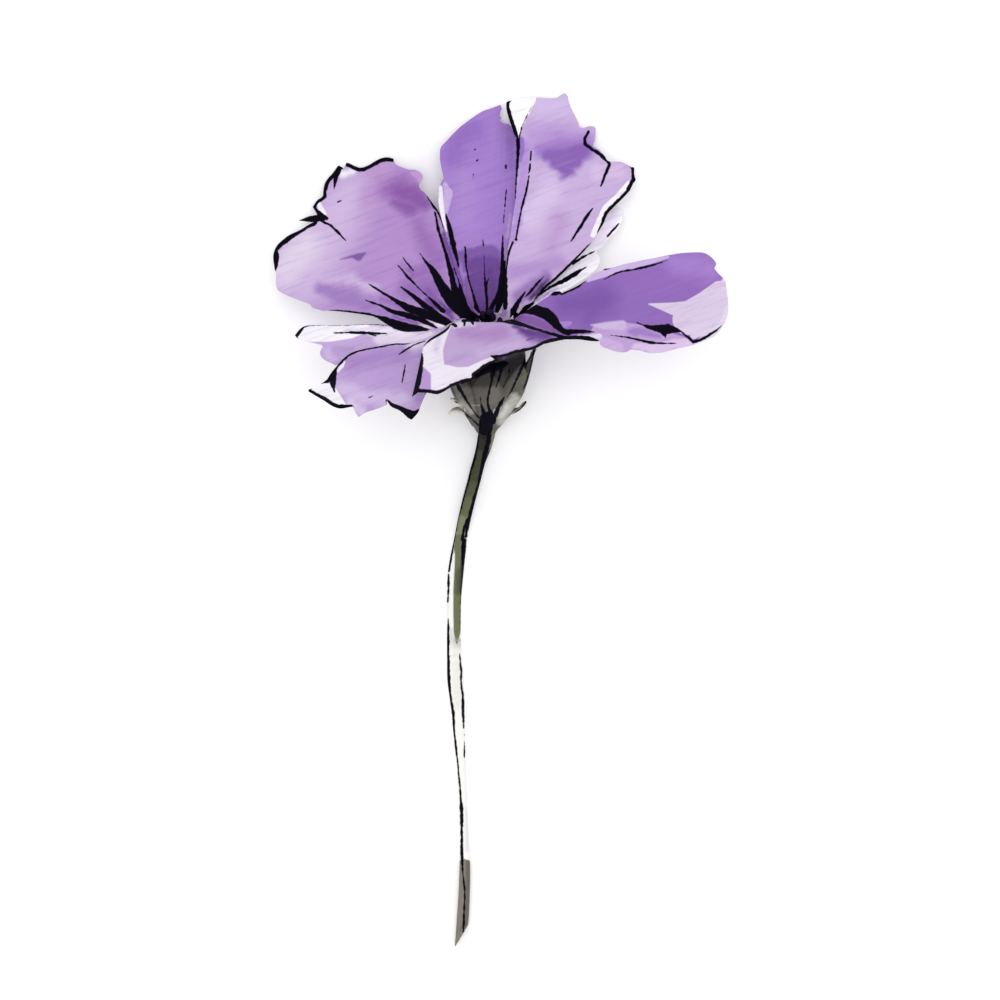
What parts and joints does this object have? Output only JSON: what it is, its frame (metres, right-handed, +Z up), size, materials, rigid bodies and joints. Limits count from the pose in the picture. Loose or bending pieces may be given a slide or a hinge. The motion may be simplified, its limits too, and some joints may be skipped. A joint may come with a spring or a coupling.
{
  "type": "cut flower",
  "caption": "Cut violet flower lying down: broad notched petals in an open funnel, a ribbed green-grey calyx and a long bare stem.",
  "frame": {"origin": "on the surface that the flower lies on, under the middle of its bounding box", "axes": "+Z up from the surface, +Y from the stem's cut end towards the flower, +X to the right seen from above with the flower at the top"},
  "size_m": [0.0799, 0.1527, 0.0526],
  "materials": {
    "violet_petal": "soft matte petal with a faint sheen",
    "pale_petal": "soft matte petal with a faint sheen",
    "calyx_green": "matte green-grey skin with dark ribs",
    "stamen_dark": "matte",
    "stem_green": "matte skin with dark lines along it"
  },
  "bodies": {
    "root": {"stem": "stem_green", "calyx": "calyx_green", "flower_centre": "stamen_dark", "petal_left": "violet_petal", "petal_back": "violet_petal", "petal_back_right": "violet_petal", "petal_right": "violet_petal", "petal_front": "violet_petal", "petal_front_left": "violet_petal", "petal_pale_right": "pale_petal", "petal_pale_left": "pale_petal"}
  },
  "joints": []
}
